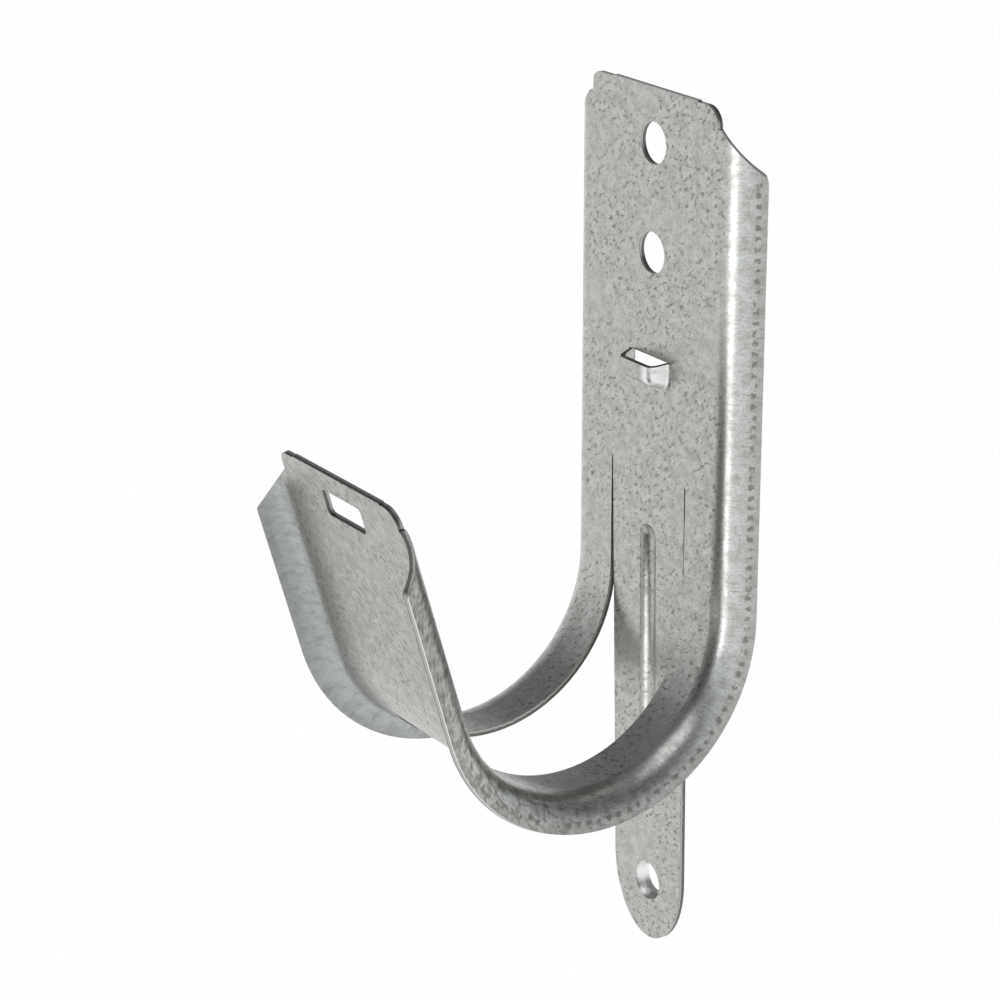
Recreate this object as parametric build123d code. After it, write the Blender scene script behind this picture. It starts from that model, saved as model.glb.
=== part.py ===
from build123d import *
from math import cos, radians, sin, sqrt, tan
import os

# Cable support hook stamped from one strip of galvanised sheet steel, in mm.
# X runs along the cable, +Y points into the wall and +Z is up.
# The origin lies midway between the two wall holes, on the plate's cable face.
# Until the last lines Z is measured from where the plate runs into the loop.

# section of the strip
sheet_t = 1.0
flat_w = 36.0
flange_bend_r = 4.7
flange_angle = 73.0
flange_edge = 1.4

# side view of the hook
loop_r = 25.0
loop_angle = 163.7
plate_h = 85.5
lip_len = 38.9

# trimmed ends of the strip, which are rounder on the +X side
cutoff_rise = 0.2
plate_cutoff_w = 23.2
plate_neck_w = 34.6
lip_cutoff_w = 27.0
lip_neck_w = 35.6
corner_r = 3.2
tight_corner_r = 1.8
neck_h = 3.4
flare_drop = 7.8
flare_r = 4.5

# wall holes
wall_hole_d = 7.1
wall_hole_pitch = 18.4
wall_hole_drop = 9.0

# strap slot in the lip
strap_slot_w = 11.8
strap_slot_h = 4.8
strap_slot_r = 0.8
strap_slot_drop = 3.4

# lanced pocket in the plate
pocket_w = 11.2
pocket_face_w = 9.0
pocket_depth = 3.3
pocket_h = 4.8
pocket_face_h = 3.7
pocket_lip_drop = 0.6
pocket_wall = 0.7
pocket_round_r = 1.8
pocket_rim_r = 1.0
pocket_drop = 45.1

# tongue cut out of the middle of the strip, and the slot it leaves
slot_w = 21.2
slot_top = 20.0
slot_end_angle = 138.0
slit_gap = 0.3
tongue_drop = 67.5
tongue_tip_w = 19.4
tongue_tip_h = 13.9
tongue_tilt = 0.9

# rib and dimpled hole in the tongue
rib_w = 4.6
rib_depth = 1.1
rib_top = 10.5
rib_len = 40.0
tongue_hole_d = 5.5
tongue_hole_drop = 56.5
dimple_w = 7.2
dimple_r = 3.9
dimple_wall = 0.9

# sizes that follow from those above
half_bend = flange_angle / 2
face_bend_r = flange_bend_r + sheet_t
tongue_w = slot_w - 2 * slit_gap
tongue_len = slot_top + tongue_drop
slit_z = plate_h - pocket_drop
wall_hole_mid = plate_h - wall_hole_drop - wall_hole_pitch / 2
flare_clear = 0.3
clear = 0.05
beyond = 2 * loop_r

# places: either end of the strip, the pocket's slit, and the face of the sloping tongue
plate_end = Pos(0, 0, plate_h)
loop_turn = Pos(0, -loop_r, 0) * Rot(-loop_angle, 0, 0) * Pos(0, loop_r, 0)
lip_end = loop_turn * Pos(0, 0, -lip_len) * Rot(0, 180, 0)
slit = Pos(0, 0, slit_z)
tongue_face = Pos(0, 0, slot_top) * Rot(tongue_tilt, 0, 0)


def strip_section():
    """Flat in the middle with a flange bent back along each side."""
    flat = Line((0, 0), (flat_w / 2, 0))
    bend = JernArc(flat @ 1, flat % 1, face_bend_r, flange_angle)
    edge = PolarLine(bend @ 1, flange_edge, direction=bend % 1)
    half = make_face(offset(flat + bend + edge, amount=sheet_t, side=Side.LEFT).edges())
    return half + mirror(half, about=Plane.YZ)


def bent_strip():
    """The section swept down the plate, round the loop and up the lip."""
    plate = Line((0, plate_h + cutoff_rise), (0, 0))
    loop = JernArc(plate @ 1, plate % 1, loop_r, -loop_angle)
    lip = PolarLine(loop @ 1, lip_len + cutoff_rise, direction=loop % 1)
    path = Plane.YZ * (plate + loop + lip)
    return sweep(Pos(0, 0, plate_h + cutoff_rise) * strip_section(), path=path)


def corner_waste(cutoff_w, neck_w, round_r):
    """Waste beside the cut-off edge: a shallow step, then the rounded corner."""
    neck = neck_w / 2
    step = Polyline((beyond, beyond), (cutoff_w / 2, beyond), (cutoff_w / 2, 0), (neck - round_r, 0))
    corner = JernArc(step @ 1, (1, 0), round_r, -90)
    rest = Polyline(corner @ 1, (neck, -neck_h), (beyond, -neck_h), (beyond, beyond))
    return extrude(Plane.XZ * make_face(step + corner + rest), amount=loop_r / 2, both=True)


def flare_waste(neck_w):
    """Waste beyond the slanting flange end, cut square to the middle of the bend."""
    view = Plane(
        origin=(flat_w / 2, 0, 0),
        x_dir=(cos(radians(half_bend)), sin(radians(half_bend)), 0),
        z_dir=(sin(radians(half_bend)), -cos(radians(half_bend)), 0),
    )
    neck_u = (neck_w - flat_w) / 2 * cos(radians(half_bend)) + sheet_t * sin(radians(half_bend))
    edge_u = 2 * face_bend_r * sin(radians(half_bend)) + flange_edge * cos(radians(half_bend)) + flare_clear
    edge_v = -neck_h - flare_drop
    outline = FilletPolyline(
        (neck_u, -neck_h),
        (edge_u, edge_v),
        (edge_u, edge_v - 2 * flare_r),
        radius=flare_r,
    )
    rest = Polyline(outline @ 1, (beyond, edge_v - 2 * flare_r), (beyond, -neck_h), outline @ 0)
    return extrude(view * make_face(outline + rest), amount=loop_r / 2, both=True)


def end_waste(cutoff_w, neck_w):
    """Everything trimmed off one end of the strip."""
    round_side = corner_waste(cutoff_w, neck_w, corner_r) + flare_waste(neck_w)
    tight_side = corner_waste(cutoff_w, neck_w, tight_corner_r) + flare_waste(neck_w)
    return round_side + mirror(tight_side, about=Plane.YZ)


def slot_waste():
    """Middle of the strip from the top of the slits to the end of the slot in the loop."""
    end_dir = (-cos(radians(slot_end_angle)), sin(radians(slot_end_angle)))
    outline = Polyline(
        (beyond, slot_top),
        (-loop_r, slot_top),
        (-loop_r, 0),
        (-loop_r - beyond * end_dir[0], -beyond * end_dir[1]),
        (-loop_r - beyond * end_dir[0], -2 * beyond),
        (beyond, -2 * beyond),
        close=True,
    )
    return extrude(Plane.YZ * make_face(outline), amount=slot_w / 2, both=True)


def pocket_form(inset, back, lip_z):
    """Outside of the lanced pocket, or its hollow when inset by one wall."""
    front = inset - pocket_depth
    lean = (pocket_w - pocket_face_w) / 2 / pocket_depth
    slope = (pocket_h - pocket_face_h) / pocket_depth

    def half_w(y):
        return pocket_w / 2 + lean * y - inset * sqrt(1 + lean**2)

    def foot(y):
        return -pocket_h - slope * y + inset * sqrt(1 + slope**2)

    plan = Polyline(
        (-half_w(front), front),
        (half_w(front), front),
        (half_w(back), back),
        (-half_w(back), back),
        close=True,
    )
    side = Polyline((back, foot(back)), (back, 0), (0, 0), (front, lip_z), (front, foot(front)), close=True)
    form = extrude(make_face(plan), amount=-2 * pocket_h)
    form &= extrude(Plane.YZ * make_face(side), amount=pocket_w, both=True)
    below_lip = form.edges().filter_by(lambda e: e.center().Z < lip_z - clear)
    pressed = below_lip.filter_by(lambda e: min((e @ 0).Y, (e @ 1).Y) < front + clear)
    return fillet(pressed, pocket_round_r - inset / 2)


def pocket_rim(plate):
    """Where the pocket runs into either face of the plate, apart from the edge of the slit."""
    near = plate.edges().filter_by_position(Axis.X, -pocket_w / 2 - clear, pocket_w / 2 + clear)
    near = near.filter_by_position(Axis.Z, slit_z - pocket_h - clear, slit_z - clear)
    faces = near.filter_by_position(Axis.Y, -clear, clear)
    return faces + near.filter_by_position(Axis.Y, sheet_t - clear, sheet_t + clear)


def tongue_blank():
    """Flat tongue leaning back from the slot's top edge, with an oval tip."""
    lean = tongue_len * tan(radians(tongue_tilt))
    side = Polyline((0, 0), (sheet_t, 0), (sheet_t + lean, -tongue_len), (lean, -tongue_len), close=True)
    straight = tongue_len - tongue_tip_h
    face = make_face(
        Polyline(
            (-tongue_w / 2, clear),
            (tongue_w / 2, clear),
            (tongue_tip_w / 2, -straight),
            (-tongue_tip_w / 2, -straight),
            close=True,
        )
    )
    face += Pos(0, -straight) * Ellipse(tongue_tip_w / 2, tongue_tip_h)
    blank = extrude(Plane.YZ * make_face(side), amount=tongue_w, both=True)
    blank &= extrude(Plane.XZ * face, amount=loop_r, both=True)
    return Pos(0, 0, slot_top) * blank


def press_into(sheet, hollow, skin):
    """Presses a hollow into the tongue's face and swells the metal out behind it."""
    behind = tongue_face * Pos(0, beyond + sheet_t / 2, 0) * Box(4 * beyond, 2 * beyond, 8 * beyond)
    return sheet + (skin & behind) - hollow


def ball_ended_bar(radius):
    """Bar as long as the rib's straight run, hanging from the origin."""
    run = rib_len - rib_w
    bar = Pos(0, 0, -run / 2) * Cylinder(radius, run)
    return bar + Sphere(radius) + Pos(0, 0, -run) * Sphere(radius)


def tongue():
    """Tongue with its rib and its dimpled hole."""
    rib_r = (rib_depth**2 + (rib_w / 2) ** 2) / (2 * rib_depth)
    rib_start = tongue_face * Pos(0, rib_depth - rib_r, rib_top - rib_w / 2 - slot_top)
    ribbed = press_into(
        tongue_blank(),
        rib_start * ball_ended_bar(rib_r),
        rib_start * ball_ended_bar(rib_r + sheet_t),
    )
    hole_centre = tongue_face * Pos(0, 0, -tongue_hole_drop - slot_top)
    ball_centre = hole_centre * Pos(0, -sqrt(dimple_r**2 - (dimple_w / 2) ** 2), 0)
    dimpled = press_into(ribbed, ball_centre * Sphere(dimple_r), ball_centre * Sphere(dimple_r + dimple_wall))
    return dimpled - hole_centre * Rot(90, 0, 0) * Cylinder(tongue_hole_d / 2, loop_r)


def wall_holes():
    """Two round holes one above the other in the plate."""
    top = Pos(0, plate_h - wall_hole_drop) * Circle(wall_hole_d / 2)
    low = Pos(0, -wall_hole_pitch) * top
    return extrude(Plane.XZ * (top + low), amount=loop_r, both=True)


def strap_slot():
    """Rounded slot just below the end of the lip."""
    slot = Pos(0, -strap_slot_drop - strap_slot_h / 2) * RectangleRounded(
        strap_slot_w, strap_slot_h, strap_slot_r
    )
    return extrude(Plane.XZ * slot, amount=loop_r / 2, both=True)


strip = bent_strip() - slot_waste()
strip -= plate_end * end_waste(plate_cutoff_w, plate_neck_w)
strip -= lip_end * mirror(end_waste(lip_cutoff_w, lip_neck_w), about=Plane.YZ)
strip += slit * pocket_form(0, sheet_t, -pocket_lip_drop)
strip -= slit * pocket_form(pocket_wall, 2 * sheet_t, 0)
strip = fillet(pocket_rim(strip), pocket_rim_r)
strip -= wall_holes()
strip -= lip_end * strap_slot()
hook = Pos(0, 0, -wall_hole_mid) * (strip + tongue())

os.makedirs("parts", exist_ok=True)
export_step(hook, "parts/hook.step")
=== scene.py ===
from math import atan2, cos, hypot, pi, radians, sin, tan

import bmesh
import bpy
from bpy.props import FloatProperty, FloatVectorProperty, PointerProperty
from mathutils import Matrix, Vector
from mathutils.bvhtree import BVHTree


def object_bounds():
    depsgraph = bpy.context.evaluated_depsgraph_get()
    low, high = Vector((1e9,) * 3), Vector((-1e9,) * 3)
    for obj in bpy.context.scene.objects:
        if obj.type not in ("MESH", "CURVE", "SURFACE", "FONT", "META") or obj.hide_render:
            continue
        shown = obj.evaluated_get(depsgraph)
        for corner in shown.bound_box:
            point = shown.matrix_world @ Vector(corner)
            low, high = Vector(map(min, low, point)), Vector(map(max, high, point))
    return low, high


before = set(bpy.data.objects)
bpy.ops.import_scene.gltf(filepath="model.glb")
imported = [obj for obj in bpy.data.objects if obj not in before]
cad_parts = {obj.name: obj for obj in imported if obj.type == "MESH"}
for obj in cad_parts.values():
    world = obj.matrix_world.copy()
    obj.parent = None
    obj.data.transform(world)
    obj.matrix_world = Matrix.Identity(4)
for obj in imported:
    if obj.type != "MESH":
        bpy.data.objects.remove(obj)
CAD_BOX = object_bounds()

bl_info = {
    "name": "Cable support hook",
    "version": (1, 0, 0),
    "blender": (4, 5, 0),
    "location": "3D View > Sidebar > Cable Hook",
    "description": "Finishes a stamped cable support hook and sets it in a pale studio",
    "category": "Object",
}

MM = 0.001

# sizes of the strip that the surface patterns follow, as the solid has them
SHEET_T = 1.0 * MM
FLAT_HALF_W = 18.0 * MM
BEND_R = 5.7 * MM
BEND_ANGLE = radians(73.0)
FREE_EDGE = 26.6 * MM
LOOP_R = 25.0 * MM
LOOP_ANGLE = radians(163.7)
LOOP_TOP = -67.3 * MM
LOOP_END = LOOP_R * LOOP_ANGLE - LOOP_TOP
TONGUE_HALF_W = 10.4 * MM
TONGUE_TOP = -47.3 * MM
TONGUE_TILT = radians(0.9)
TONGUE_HOLE = -123.8 * MM
DIMPLE_R = 3.55 * MM
POCKET_TOP = -26.9 * MM
POCKET_H = 4.8 * MM
POCKET_HALF_W = 5.6 * MM

# where in front of the plate's cable face a point counts as pressed out, and the pocket's margin
PRESSED_OUT = -0.3 * MM
POCKET_MARGIN = 1.0 * MM

# how far in front of the tongue a point still counts as part of it
TONGUE_MARGIN = 1.0 * MM

# how far across the blank the flange's own marks and its painted lighter tone have taken over from
# the plate's
FLANGE_ZONE = FLAT_HALF_W + 0.7 * BEND_R

# pitch of the grip marks near the free edge of a flange, and how much noise breaks their rhythm
GRIP_PITCH = 1.75 * MM
GRIP_NOISE = 8.0

# how far inside a face its ray starts, how many sheets deep it looks, and how nearly back to back
# the two sides of the sheet lie
SKIN = 0.01 * MM
RAY_REACH = 1.8 * SHEET_T
BACK_TO_BACK = -0.85

# slot of the cut edges' material
SHEARED_SLOT = 1

# soft lamps: the place of each, its width and height, and its power in watts
FRONT_LAMP = ((0.07, -0.6, -0.22), (0.2, 0.3), 0.5)
OVERHEAD_LAMP = ((0.2, -0.5, 0.9), (0.8, 0.8), 2.0)

# sockets of the colour Mix node, which share their names with its other sockets
MIX_FACTOR, MIX_A, MIX_B, MIX_OUT = 0, 6, 7, 2


def linear(hex_colour):
    """Turns an sRGB hex colour into Blender's linear RGBA."""
    channels = [int(hex_colour[i : i + 2], 16) / 255 for i in (1, 3, 5)]
    return [c / 12.92 if c <= 0.04045 else ((c + 0.055) / 1.055) ** 2.4 for c in channels] + [1.0]


def add_node(tree, kind, settings=None, values=None, links=None):
    """Adds a node with its settings, its input values and the sockets that feed its inputs."""
    node = tree.nodes.new(kind)
    for name, value in (settings or {}).items():
        setattr(node, name, value)
    for name, value in (values or {}).items():
        node.inputs[name].default_value = value
    for name, socket in (links or {}).items():
        tree.links.new(socket, node.inputs[name])
    return node


def new_material(name):
    """An empty node material and its tree."""
    material = bpy.data.materials.new(name)
    material.use_nodes = True
    material.node_tree.nodes.clear()
    return material, material.node_tree


def fade(tree, value, start, end, top=1.0):
    """Rises smoothly from nothing at the start to its top at the end, which may come first."""
    node = add_node(
        tree,
        "ShaderNodeMapRange",
        settings={"interpolation_type": "SMOOTHSTEP"},
        values={"From Min": start, "From Max": end, "To Max": top},
        links={"Value": value},
    )
    return node.outputs["Result"]


def times(tree, first, second):
    """Two shares multiplied."""
    node = add_node(
        tree,
        "ShaderNodeMath",
        settings={"operation": "MULTIPLY"},
        links={0: first, 1: second},
    )
    return node.outputs[0]


def tint(tree, under, colour, share):
    """Lays a colour over another by a share."""
    node = add_node(
        tree,
        "ShaderNodeMix",
        settings={"data_type": "RGBA"},
        values={MIX_B: colour},
        links={MIX_FACTOR: share, MIX_A: under},
    )
    return node.outputs[MIX_OUT]


def grain(tree, place, size, stretch=(1.0, 1.0, 1.0), turn=0.0, detail=3.0):
    """Noise with grains of one size, stretched along an axis that may be turned in the sheet."""
    laid = add_node(
        tree,
        "ShaderNodeMapping",
        values={"Rotation": (0.0, 0.0, turn)},
        links={"Vector": place},
    )
    drawn = add_node(
        tree,
        "ShaderNodeVectorMath",
        settings={"operation": "DIVIDE"},
        links={0: laid.outputs["Vector"]},
    )
    drawn.inputs[1].default_value = stretch
    noise = add_node(
        tree,
        "ShaderNodeTexNoise",
        values={"Scale": 1 / size, "Detail": detail, "Roughness": 0.6},
        links={"Vector": drawn.outputs[0]},
    )
    return noise.outputs["Fac"]


class FinishSettings(bpy.types.PropertyGroup):
    """Colours and surface of the galvanised sheet."""

    zinc: FloatVectorProperty(
        name="Zinc",
        description="Colour of the plain zinc coat",
        subtype="COLOR",
        size=4,
        min=0.0,
        max=1.0,
        default=linear("#C6C6C2"),
    )
    mottle: FloatVectorProperty(
        name="Mottle",
        description="Colour of the duller patches between the crystals",
        subtype="COLOR",
        size=4,
        min=0.0,
        max=1.0,
        default=linear("#B4B5B0"),
    )
    # the pit colour also draws the painted shade of the small dent marks near the +X flange's free
    # edge
    speck_and_shade: FloatVectorProperty(
        name="Specks",
        description="Colour of the small dark pits in the coat, also of the dent marks' painted shade",
        subtype="COLOR",
        size=4,
        min=0.0,
        max=1.0,
        default=linear("#7B7B75"),
    )
    # painted reflection: a lighter, cooler tone that stands in for the brighter reflection on the
    # bent flanges
    flange_painted_light: FloatVectorProperty(
        name="Flange painted light",
        description="Lighter, cooler painted reflection on the bent flanges",
        subtype="COLOR",
        size=4,
        min=0.0,
        max=1.0,
        default=linear("#DBDFDD"),
    )
    # painted shade: a darker blue-grey on the -X flange past the plate
    flange_painted_shade: FloatVectorProperty(
        name="Flange painted shade",
        description="Blue-grey painted shade on the -X flange past the plate",
        subtype="COLOR",
        size=4,
        min=0.0,
        max=1.0,
        default=linear("#9BA3A4"),
    )
    # painted highlight: bright colour laid on the pocket, the dimple and the flanges' free edges
    painted_highlight: FloatVectorProperty(
        name="Painted highlight",
        description="Colour of the painted highlight on the pocket, the dimple and the flanges' free edges",
        subtype="COLOR",
        size=4,
        min=0.0,
        max=1.0,
        default=linear("#F2F2F2"),
    )
    sheared: FloatVectorProperty(
        name="Sheared edge",
        description="Colour of the broken steel where the sheet was cut",
        subtype="COLOR",
        size=4,
        min=0.0,
        max=1.0,
        default=linear("#6E6D6B"),
    )
    burnish: FloatVectorProperty(
        name="Burnished edge",
        description="Colour of the bright band that the cutter leaves on a cut edge",
        subtype="COLOR",
        size=4,
        min=0.0,
        max=1.0,
        default=linear("#B4B2AF"),
    )
    patch_size: FloatProperty(
        name="Patch size",
        description="Width of one dull patch",
        subtype="DISTANCE",
        unit="LENGTH",
        min=0.0005,
        default=2.2 * MM,
    )
    speck_size: FloatProperty(
        name="Speck size",
        description="Spacing of the dark pits",
        subtype="DISTANCE",
        unit="LENGTH",
        min=0.0002,
        default=0.75 * MM,
    )


class StudioSettings(bpy.types.PropertyGroup):
    """Camera, floor and room."""

    azimuth: FloatProperty(
        name="Azimuth",
        description="Turn of the camera round the hook, from its front",
        subtype="ANGLE",
        unit="ROTATION",
        default=radians(56.92),
    )
    elevation: FloatProperty(
        name="Elevation",
        description="Height of the camera above the horizon",
        subtype="ANGLE",
        unit="ROTATION",
        default=radians(19.715),
    )
    distance: FloatProperty(
        name="Distance",
        description="From the camera to the point that it looks at",
        subtype="DISTANCE",
        unit="LENGTH",
        default=556.1 * MM,
    )
    target: FloatVectorProperty(
        name="Target",
        description="Point that the camera looks at",
        subtype="TRANSLATION",
        unit="LENGTH",
        default=(-19.73 * MM, -16.9 * MM, -55.02 * MM),
    )
    lens: FloatProperty(
        name="Focal length",
        description="Focal length in millimetres on a 36 mm sensor",
        default=116.91,
    )
    floor_drop: FloatProperty(
        name="Floor drop",
        description="From the hook's lowest point to the floor",
        subtype="DISTANCE",
        unit="LENGTH",
        default=250.0 * MM,
    )
    floor_w: FloatProperty(
        name="Floor width",
        description="Side of the square floor",
        subtype="DISTANCE",
        unit="LENGTH",
        default=12.0,
    )
    floor_glow: FloatProperty(
        name="Floor white",
        description="Share of pure white in the floor as the camera and reflections see it",
        subtype="FACTOR",
        min=0.0,
        max=1.0,
        default=0.995,
    )
    room: FloatVectorProperty(
        name="Room",
        description="Colour of the pale walls round the floor",
        subtype="COLOR",
        size=4,
        min=0.0,
        max=1.0,
        default=linear("#E0E2E3"),
    )
    ceiling: FloatVectorProperty(
        name="Ceiling",
        description="Colour of the darker ceiling",
        subtype="COLOR",
        size=4,
        min=0.0,
        max=1.0,
        default=linear("#7C7E7F"),
    )


def blank_place(point):
    """Where a point of the bent sheet lay on the flat blank.

    Gives how far it is across from the middle line, along the blank and into the sheet.
    """
    x, y, z = point
    drop, reach = LOOP_TOP - z, y + LOOP_R
    if y > -TONGUE_MARGIN and z < TONGUE_TOP and abs(x) < TONGUE_HALF_W:
        # on the tongue
        along, depth = -z, y - tan(TONGUE_TILT) * (TONGUE_TOP - z)
    elif reach > 0 and drop < 0:
        # on the plate
        along, depth = -z, y
    else:
        turn = atan2(drop, reach) % (2 * pi)
        if turn < LOOP_ANGLE:
            # round the loop
            along, depth = LOOP_R * turn - LOOP_TOP, hypot(drop, reach) - LOOP_R
        else:
            # up the lip
            outward = Vector((cos(LOOP_ANGLE), sin(LOOP_ANGLE)))
            upward = Vector((-sin(LOOP_ANGLE), cos(LOOP_ANGLE)))
            offset = Vector((reach, drop)) - LOOP_R * outward
            along, depth = LOOP_END + offset.dot(upward), offset.dot(outward)
    # then round the flange's bend, and out along its flat edge
    across, out, rise = abs(x), abs(x) - FLAT_HALF_W, BEND_R - depth
    bend = atan2(out, rise)
    if 0 < bend < BEND_ANGLE:
        across, depth = FLAT_HALF_W + BEND_R * bend, BEND_R - hypot(out, rise)
    elif out > 0:
        across = FLAT_HALF_W + BEND_R * BEND_ANGLE + out * cos(BEND_ANGLE) - rise * sin(BEND_ANGLE)
        depth = BEND_R - out * sin(BEND_ANGLE) - rise * cos(BEND_ANGLE)
    return (across if x > 0 else -across, along, depth)


def in_pocket(point):
    """Whether a point was pressed out of the plate with the pocket."""
    beside = abs(point.x) < POCKET_HALF_W + POCKET_MARGIN
    level = -POCKET_H - POCKET_MARGIN < point.z - POCKET_TOP < POCKET_MARGIN
    return beside and level and point.y < PRESSED_OUT


def in_dimple(point):
    """Whether a point is in the dimple round the tongue's hole, or on the hole's wall."""
    return hypot(point.x, point.z - TONGUE_HOLE) < DIMPLE_R


def map_onto_blank(mesh):
    """Notes where each point lay on the flat blank, so that patterns follow the bent sheet.

    The UV map "blank" is in metres. The attribute "into sheet" runs from 0 on the cable
    face to 1 on the wall face, and "painted_highlight" is 1 at the pocket and at the tongue's
    dimple, where a painted highlight goes.
    """
    layer = mesh.uv_layers.new(name="blank")
    into = mesh.attributes.new("into sheet", "FLOAT", "POINT")
    painted_highlight = mesh.attributes.new("painted_highlight", "FLOAT", "POINT")
    places = [blank_place(v.co) for v in mesh.vertices]
    for vertex, (_, _, depth) in zip(mesh.vertices, places):
        into.data[vertex.index].value = min(max(depth / SHEET_T, 0.0), 1.0)
        if in_pocket(vertex.co) or in_dimple(vertex.co):
            painted_highlight.data[vertex.index].value = 1.0
    for loop in mesh.loops:
        layer.data[loop.index].uv = places[loop.vertex_index][:2]


def mark_sheared_faces(mesh):
    """Puts the faces where the sheet was cut in a material slot of their own.

    A face of the sheet has its other face right behind it, and a cut face hasn't. The dimple
    and the wall of its hole stay with the coat, which carries a painted highlight there.
    """
    copy = bmesh.new()
    copy.from_mesh(mesh)
    tree = BVHTree.FromBMesh(copy)
    copy.free()
    for face in mesh.polygons:
        if in_dimple(face.center):
            continue
        start = face.center - face.normal * SKIN
        place, normal = tree.ray_cast(start, -face.normal, RAY_REACH)[:2]
        if place is None or normal.dot(face.normal) > BACK_TO_BACK:
            face.material_index = SHEARED_SLOT


def galvanised_steel(finish):
    """Sheet steel dipped in molten zinc and then stamped.

    It looks a dull pale grey, mottled and pitted, scratched and bruised where the dies bent it.
    """
    material, tree = new_material("hot-dip galvanised steel")
    blank = add_node(tree, "ShaderNodeUVMap", settings={"uv_map": "blank"}).outputs["UV"]
    on_blank = add_node(tree, "ShaderNodeSeparateXYZ", links={"Vector": blank})
    across, along = on_blank.outputs["X"], on_blank.outputs["Y"]
    side = add_node(
        tree, "ShaderNodeMath", settings={"operation": "ABSOLUTE"}, links={0: across}
    ).outputs[0]
    on_flange = fade(tree, side, FLAT_HALF_W, FLANGE_ZONE)
    on_lip = fade(tree, along, LOOP_END - 5 * MM, LOOP_END + 5 * MM)
    past_plate = fade(tree, along, -LOOP_TOP, LOOP_END)

    patches = grain(tree, blank, finish.patch_size, detail=5.0)
    zinc = add_node(
        tree,
        "ShaderNodeMix",
        settings={"data_type": "RGBA"},
        values={MIX_A: finish.zinc, MIX_B: finish.mottle},
        links={MIX_FACTOR: fade(tree, patches, 0.35, 0.65)},
    ).outputs[MIX_OUT]
    # painted reflection: lighter, cooler tone on the flanges, broken up by the patches
    flange_light_share = times(tree, on_flange, fade(tree, patches, 0.9, 0.1))
    zinc = tint(tree, zinc, finish.flange_painted_light, flange_light_share)

    # dark pits, crowded in some places, rare in others and none on the flanges
    crowd = grain(tree, blank, 14 * MM, detail=1.0)
    pits = grain(
        tree, blank, finish.speck_size, stretch=(1.5, 1.0, 1.0), turn=radians(35), detail=2.0
    )
    pit_share = times(tree, fade(tree, pits, 0.52, 0.68, 0.9), fade(tree, crowd, 0.25, 0.55))
    off_flange = fade(tree, side, FLANGE_ZONE, FLAT_HALF_W)
    zinc = tint(tree, zinc, finish.speck_and_shade, times(tree, pit_share, off_flange))

    # zinc crystals, drawn at 0.4 mm so that they show, though the real ones may be finer
    crystals = grain(tree, blank, 0.4 * MM, detail=2.0)
    zinc = tint(tree, zinc, finish.speck_and_shade, fade(tree, crystals, 0.42, 0.75, 0.4))

    # fine slanting streaks on the lip, and scratches across the flanges
    streaks = grain(tree, blank, 0.5 * MM, stretch=(6.0, 1.0, 1.0), turn=radians(45), detail=2.0)
    zinc = tint(tree, zinc, finish.speck_and_shade, times(tree, fade(tree, streaks, 0.52, 0.75, 0.7), on_lip))
    scratches = grain(tree, blank, 0.35 * MM, stretch=(7.0, 1.0, 1.0), detail=2.0)
    scratched = times(tree, fade(tree, scratches, 0.48, 0.8, 0.5), on_flange)
    zinc = tint(tree, zinc, finish.speck_and_shade, scratched)

    # bruises on the flanges past the plate, with a painted blue-grey shade on the -X one and
    # short slanting dashes on the +X one
    bruises = grain(tree, blank, 1.5 * MM, stretch=(2.4, 1.0, 1.0), detail=4.0)
    bruised = times(tree, fade(tree, bruises, 0.48, 0.68, 0.75), on_flange)
    zinc = tint(tree, zinc, finish.speck_and_shade, times(tree, bruised, past_plate))
    far_flange_shade = times(tree, past_plate, fade(tree, across, -FLAT_HALF_W, -FLANGE_ZONE, 0.6))
    zinc = tint(tree, zinc, finish.flange_painted_shade, far_flange_shade)
    dashes = grain(tree, blank, 0.65 * MM, stretch=(1.0, 3.5, 1.0), turn=radians(-20), detail=2.0)
    near_side = times(tree, past_plate, fade(tree, across, FLAT_HALF_W, FLANGE_ZONE))
    dashed = times(tree, fade(tree, dashes, 0.46, 0.66, 0.9), near_side)
    zinc = tint(tree, zinc, finish.speck_and_shade, dashed)

    # darker on the whole lip, and towards the free edges
    darker_lip = fade(tree, along, LOOP_END - 5 * MM, LOOP_END + 5 * MM, 0.15)
    zinc = tint(tree, zinc, finish.speck_and_shade, darker_lip)
    zinc = tint(tree, zinc, finish.speck_and_shade, fade(tree, side, FREE_EDGE - 4 * MM, FREE_EDGE, 0.35))

    # row of small dent marks where the +X flange was gripped near its free edge, drawn only as
    # painted shade, with none on the lip
    near_edge = times(
        tree,
        fade(tree, across, FREE_EDGE - 2.2 * MM, FREE_EDGE - 1.8 * MM),
        fade(tree, across, FREE_EDGE - 0.8 * MM, FREE_EDGE - 1.2 * MM),
    )
    turns = add_node(
        tree,
        "ShaderNodeMath",
        settings={"operation": "MULTIPLY"},
        values={1: 2 * pi / GRIP_PITCH},
        links={0: along},
    )
    swing = add_node(
        tree,
        "ShaderNodeMath",
        settings={"operation": "SINE"},
        links={0: turns.outputs[0]},
    )
    uneven = add_node(
        tree,
        "ShaderNodeMath",
        settings={"operation": "MULTIPLY_ADD"},
        values={1: GRIP_NOISE},
        links={0: grain(tree, blank, 1.1 * MM, detail=2.0), 2: swing.outputs[0]},
    )
    dent_shade = times(
        tree,
        fade(tree, uneven.outputs[0], 3.9, 5.0, 0.8),
        fade(tree, along, LOOP_END, LOOP_END - 10 * MM),
    )
    zinc = tint(tree, zinc, finish.speck_and_shade, times(tree, dent_shade, near_edge))

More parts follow.
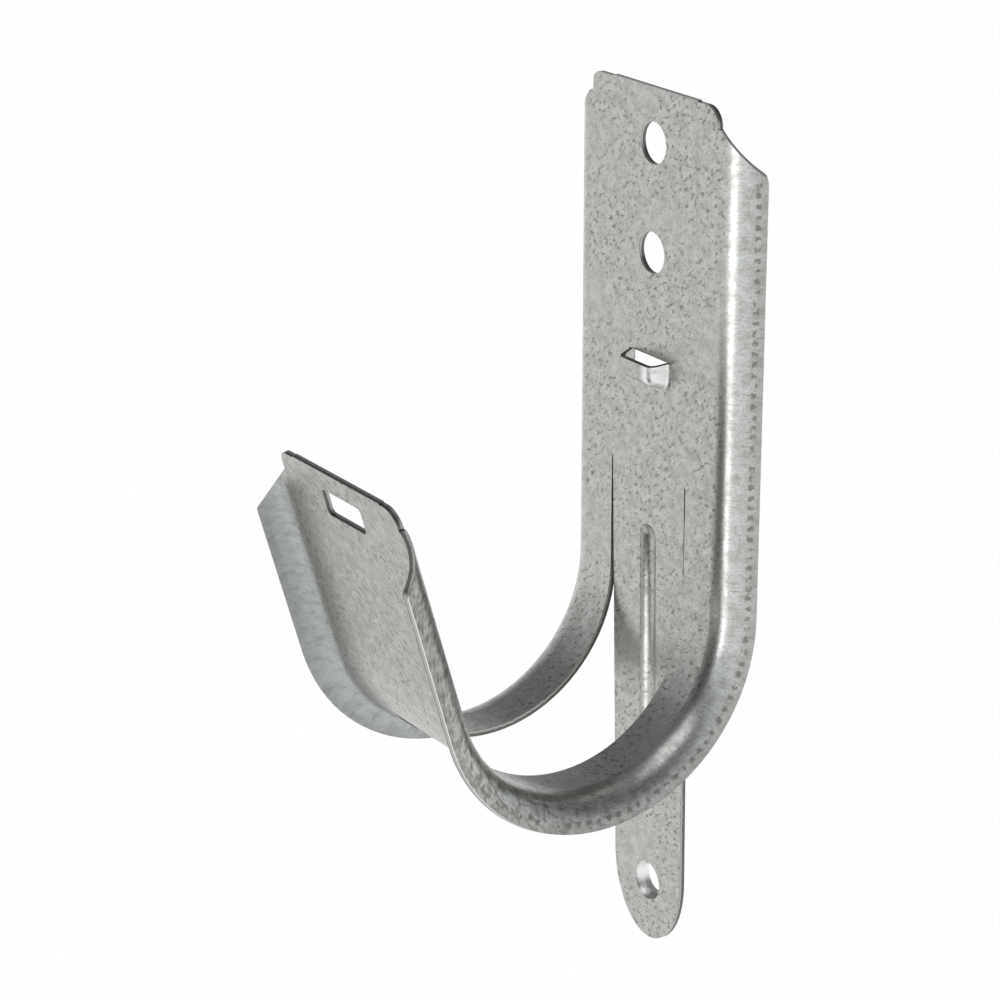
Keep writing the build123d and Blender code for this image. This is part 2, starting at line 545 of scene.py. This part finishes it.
    # painted highlight in patches on the +X side of the pocket and the dimple, and all over
    # the dimple's -X side
    pressed = add_node(
        tree, "ShaderNodeAttribute", settings={"attribute_name": "painted_highlight"}
    ).outputs["Fac"]
    patchy_highlight = times(tree, pressed, fade(tree, patches, 0.25, 0.5))
    rubbed = times(tree, patchy_highlight, fade(tree, across, 1.6 * MM, 3.0 * MM))
    zinc = tint(tree, zinc, finish.painted_highlight, rubbed)
    dimple_left_highlight = times(tree, pressed, fade(tree, across, 0.4 * MM, -0.6 * MM))
    dimple = times(tree, dimple_left_highlight, fade(tree, along, -TONGUE_HOLE - 6 * MM, -TONGUE_HOLE - 5 * MM))
    zinc = tint(tree, zinc, finish.painted_highlight, dimple)

    # some patches duller than others, and a fine relief with wrinkles across the flanges
    dullness = add_node(
        tree,
        "ShaderNodeMapRange",
        values={"From Min": 0.3, "From Max": 0.7, "To Min": 0.26, "To Max": 0.36},
        links={"Value": patches},
    )
    fine = grain(tree, blank, 0.7 * MM, detail=4.0)
    wrinkles = grain(tree, blank, 0.7 * MM, stretch=(5.0, 1.0, 1.0), detail=3.0)
    rough = add_node(
        tree,
        "ShaderNodeMath",
        settings={"operation": "ADD"},
        links={0: fine, 1: times(tree, wrinkles, on_flange)},
    )
    relief = add_node(
        tree,
        "ShaderNodeBump",
        values={"Strength": 0.3, "Distance": 0.02 * MM},
        links={"Height": rough.outputs[0]},
    )
    shader = add_node(
        tree,
        "ShaderNodeBsdfPrincipled",
        values={"Metallic": 1.0},
        links={
            "Base Color": zinc,
            "Roughness": dullness.outputs["Result"],
            "Normal": relief.outputs["Normal"],
        },
    )
    add_node(tree, "ShaderNodeOutputMaterial", links={"Surface": shader.outputs["BSDF"]})
    return material


def sheared_steel(finish):
    """Bare edge of the sheet where the shear cut it.

    The cutter leaves a bright rubbed band, and past it the steel broke dark and rough.
    """
    material, tree = new_material("sheared steel edge")
    into = add_node(
        tree, "ShaderNodeAttribute", settings={"attribute_name": "into sheet"}
    ).outputs["Fac"]
    blank = add_node(tree, "ShaderNodeUVMap", settings={"uv_map": "blank"}).outputs["UV"]
    ragged = grain(tree, blank, 0.8 * MM, detail=3.0)
    depth = add_node(
        tree,
        "ShaderNodeMath",
        settings={"operation": "MULTIPLY_ADD"},
        values={1: 0.5},
        links={0: ragged, 2: into},
    ).outputs[0]
    band = times(tree, fade(tree, depth, 0.25, 0.35), fade(tree, depth, 0.75, 0.6))
    colour = add_node(
        tree,
        "ShaderNodeMix",
        settings={"data_type": "RGBA"},
        values={MIX_A: finish.sheared, MIX_B: finish.burnish},
        links={MIX_FACTOR: band},
    ).outputs[MIX_OUT]

    # the free edge of a flange is burnished, with a thin painted highlight along the cable face
    # and a dark line along the wall face
    across = add_node(tree, "ShaderNodeSeparateXYZ", links={"Vector": blank}).outputs["X"]
    side = add_node(
        tree, "ShaderNodeMath", settings={"operation": "ABSOLUTE"}, links={0: across}
    ).outputs[0]
    free = fade(tree, side, FREE_EDGE - 0.3 * MM, FREE_EDGE - 0.1 * MM)
    colour = tint(tree, colour, finish.burnish, free)
    colour = tint(tree, colour, finish.painted_highlight, times(tree, free, fade(tree, into, 0.3, 0.1)))
    colour = tint(tree, colour, finish.sheared, times(tree, free, fade(tree, into, 0.8, 0.9)))
    shader = add_node(
        tree,
        "ShaderNodeBsdfPrincipled",
        values={"Metallic": 1.0, "Roughness": 0.35},
        links={"Base Color": colour},
    )
    add_node(tree, "ShaderNodeOutputMaterial", links={"Surface": shader.outputs["BSDF"]})
    return material


class HOOK_OT_finish(bpy.types.Operator):
    """Coat the stamped hook in zinc and leave its cut edges bare"""

    bl_idname = "cable_hook.finish"
    bl_label = "Finish Hook"

    def execute(self, context):
        finish = context.scene.hook_finish
        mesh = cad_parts["hook"].data
        map_onto_blank(mesh)
        mesh.materials.clear()
        mesh.materials.append(galvanised_steel(finish))
        mesh.materials.append(sheared_steel(finish))
        mark_sheared_faces(mesh)
        return {"FINISHED"}


def white_floor(studio):
    """Pale studio floor: white to the camera and the metal, with a trace of the hook's shadow."""
    material, tree = new_material("white studio floor")
    path = add_node(tree, "ShaderNodeLightPath")
    seen = add_node(
        tree,
        "ShaderNodeMath",
        settings={"operation": "MAXIMUM"},
        links={0: path.outputs["Is Camera Ray"], 1: path.outputs["Is Glossy Ray"]},
    )
    seen_or_through = add_node(
        tree,
        "ShaderNodeMath",
        settings={"operation": "MAXIMUM"},
        links={0: seen.outputs[0], 1: path.outputs["Is Transmission Ray"]},
    )
    share = add_node(
        tree,
        "ShaderNodeMath",
        settings={"operation": "MULTIPLY"},
        values={1: studio.floor_glow},
        links={0: seen_or_through.outputs[0]},
    )
    paper = add_node(tree, "ShaderNodeBsdfDiffuse", values={"Color": linear("#F2F2F2")})
    glow = add_node(
        tree, "ShaderNodeEmission", values={"Color": linear("#FFFFFF"), "Strength": 1.0}
    )
    both = add_node(
        tree,
        "ShaderNodeMixShader",
        links={0: share.outputs[0], 1: paper.outputs["BSDF"], 2: glow.outputs["Emission"]},
    )
    add_node(tree, "ShaderNodeOutputMaterial", links={"Surface": both.outputs["Shader"]})
    return material


def add_floor(studio):
    """A floor well below the hook, wide enough to fill the view."""
    shape = bmesh.new()
    bmesh.ops.create_grid(shape, x_segments=1, y_segments=1, size=studio.floor_w / 2)
    bmesh.ops.translate(shape, verts=shape.verts, vec=(0, 0, CAD_BOX[0].z - studio.floor_drop))
    mesh = bpy.data.meshes.new("floor")
    shape.to_mesh(mesh)
    shape.free()
    mesh.materials.append(white_floor(studio))
    floor = bpy.data.objects.new("floor", mesh)
    bpy.context.collection.objects.link(floor)


def add_lamp(name, place, size, power, aim):
    """A soft rectangular white lamp at a place, turned towards what it lights."""
    lamp = bpy.data.lights.new(name, "AREA")
    lamp.shape = "RECTANGLE"
    lamp.size, lamp.size_y = size
    lamp.energy = power
    holder = bpy.data.objects.new(name, lamp)
    holder.location = place
    holder.rotation_euler = (Vector(aim) - Vector(place)).to_track_quat("-Z", "Y").to_euler()
    bpy.context.collection.objects.link(holder)


def add_camera(studio):
    """The camera at the studio's viewing angle."""
    turn, tilt = studio.azimuth, studio.elevation
    back = Vector((sin(turn) * cos(tilt), -cos(turn) * cos(tilt), sin(tilt)))
    camera = bpy.data.objects.new("camera", bpy.data.cameras.new("camera"))
    camera.data.lens = studio.lens
    camera.location = Vector(studio.target) + back * studio.distance
    camera.rotation_euler = (-back).to_track_quat("-Z", "Y").to_euler()
    bpy.context.collection.objects.link(camera)
    bpy.context.scene.camera = camera


def pale_room(studio):
    """World light: a pale wall all round that darkens towards the ceiling."""
    world = bpy.data.worlds.new("studio")
    world.use_nodes = True
    tree = world.node_tree
    place = add_node(tree, "ShaderNodeTexCoord")
    height = add_node(tree, "ShaderNodeSeparateXYZ", links={"Vector": place.outputs["Generated"]})
    wall = add_node(
        tree,
        "ShaderNodeMix",
        settings={"data_type": "RGBA"},
        values={MIX_A: studio.room, MIX_B: studio.ceiling},
        links={MIX_FACTOR: fade(tree, height.outputs["Z"], 0.1, 0.6)},
    )
    tree.links.new(wall.outputs[MIX_OUT], tree.nodes["Background"].inputs["Color"])
    return world


class HOOK_OT_studio(bpy.types.Operator):
    """Set the floor, the lamps and the camera round the hook"""

    bl_idname = "cable_hook.studio"
    bl_label = "Set Studio"

    def execute(self, context):
        studio = context.scene.hook_studio
        middle = (CAD_BOX[0] + CAD_BOX[1]) / 2
        add_floor(studio)
        add_lamp("front", *FRONT_LAMP, aim=middle)
        add_lamp("overhead", *OVERHEAD_LAMP, aim=middle)
        add_camera(studio)
        context.scene.world = pale_room(studio)
        context.scene.view_settings.view_transform = "Standard"
        return {"FINISHED"}


class HOOK_PT_panel(bpy.types.Panel):
    """Sizes, colours and steps of the cable hook"""

    bl_label = "Cable Hook"
    bl_idname = "HOOK_PT_panel"
    bl_space_type = "VIEW_3D"
    bl_region_type = "UI"
    bl_category = "Cable Hook"

    def draw(self, context):
        for settings in (context.scene.hook_finish, context.scene.hook_studio):
            box = self.layout.box()
            for name in settings.__annotations__:
                box.prop(settings, name)
        self.layout.operator(HOOK_OT_finish.bl_idname)
        self.layout.operator(HOOK_OT_studio.bl_idname)


CLASSES = (FinishSettings, StudioSettings, HOOK_OT_finish, HOOK_OT_studio, HOOK_PT_panel)


def register():
    for cls in CLASSES:
        bpy.utils.register_class(cls)
    bpy.types.Scene.hook_finish = PointerProperty(type=FinishSettings)
    bpy.types.Scene.hook_studio = PointerProperty(type=StudioSettings)


def unregister():
    del bpy.types.Scene.hook_studio
    del bpy.types.Scene.hook_finish
    for cls in reversed(CLASSES):
        bpy.utils.unregister_class(cls)


def main():
    """Runs every step."""
    register()
    bpy.ops.cable_hook.finish()
    bpy.ops.cable_hook.studio()


if __name__ == "__main__":
    main()
